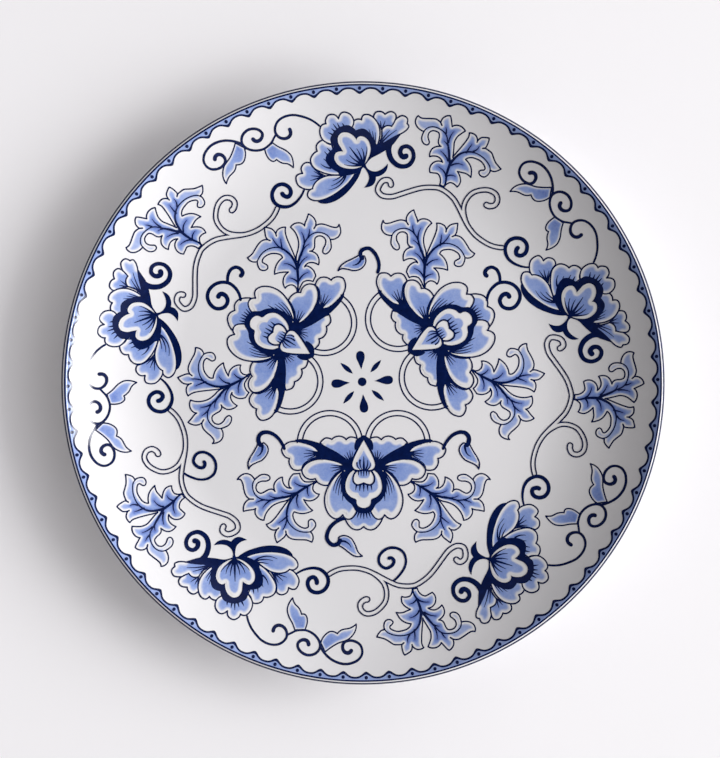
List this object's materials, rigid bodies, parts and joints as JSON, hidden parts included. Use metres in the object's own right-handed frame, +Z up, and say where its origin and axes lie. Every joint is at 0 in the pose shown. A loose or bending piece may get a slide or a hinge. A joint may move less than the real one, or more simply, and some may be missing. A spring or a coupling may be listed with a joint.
{
  "type": "dinner plate",
  "caption": "Round coupe-shaped porcelain dinner plate on a low foot ring, with a shallow curved wall and a fired-on blue floral transfer print.",
  "frame": {"origin": "table level under the plate's centre, the middle of the bottom of its box", "axes": "+Z up out of the eating face; +Y towards the top of the decoration seen from above; +X to its right"},
  "size_m": [0.2672, 0.2672, 0.026],
  "materials": {
    "porcelain": "fired unglazed white porcelain, bare and finely gritty only on the foot ring's edge",
    "glaze": "clear high-gloss glaze over a cool white body",
    "navy_print": "dark cobalt blue transfer print sunk in the gloss glaze",
    "blue_print": "pale cobalt wash with dark outlines and veins, sunk in the gloss glaze"
  },
  "bodies": {
    "root": {"porcelain_body": "porcelain", "outer_glaze": "glaze", "foot_well_glaze": "glaze", "rim_edge_line": "navy_print", "rim_scallop_band": "blue_print", "centre_dot": "navy_print", "border_blossom_1": "blue_print", "border_blossom_2": "blue_print", "border_blossom_3": "blue_print", "border_blossom_4": "blue_print", "border_blossom_5": "blue_print", "border_ribbon_1": "navy_print", "border_ribbon_2": "navy_print", "border_ribbon_3": "navy_print", "border_ribbon_4": "navy_print", "border_ribbon_5": "navy_print", "border_spray_1": "blue_print", "border_spray_2": "blue_print", "border_spray_3": "blue_print", "border_spray_4": "blue_print", "border_spray_5": "blue_print", "border_vine_1": "navy_print", "border_vine_2": "navy_print", "border_vine_3": "navy_print", "border_vine_4": "navy_print", "border_vine_5": "navy_print", "bud_left": "blue_print", "bud_low": "blue_print", "bud_right": "blue_print", "bud_top": "blue_print", "centre_blossom_1": "blue_print", "centre_blossom_2": "blue_print", "centre_blossom_3": "blue_print", "centre_spray_1": "blue_print", "centre_spray_2": "blue_print", "centre_spray_3": "blue_print", "centre_spray_4": "blue_print", "centre_spray_5": "blue_print", "centre_spray_6": "blue_print", "rosette_petal_1": "navy_print", "rosette_petal_2": "navy_print", "rosette_petal_3": "navy_print", "rosette_petal_4": "navy_print", "rosette_petal_5": "navy_print", "rosette_petal_6": "navy_print", "rosette_petal_7": "navy_print", "rosette_petal_8": "navy_print", "side_spiral_left": "navy_print", "side_spiral_right": "navy_print", "stem_hoop_1": "navy_print", "stem_hoop_2": "navy_print", "stem_hoop_3": "navy_print", "stem_hoop_4": "navy_print", "stem_hoop_5": "navy_print", "stem_hoop_6": "navy_print"}
  },
  "joints": []
}
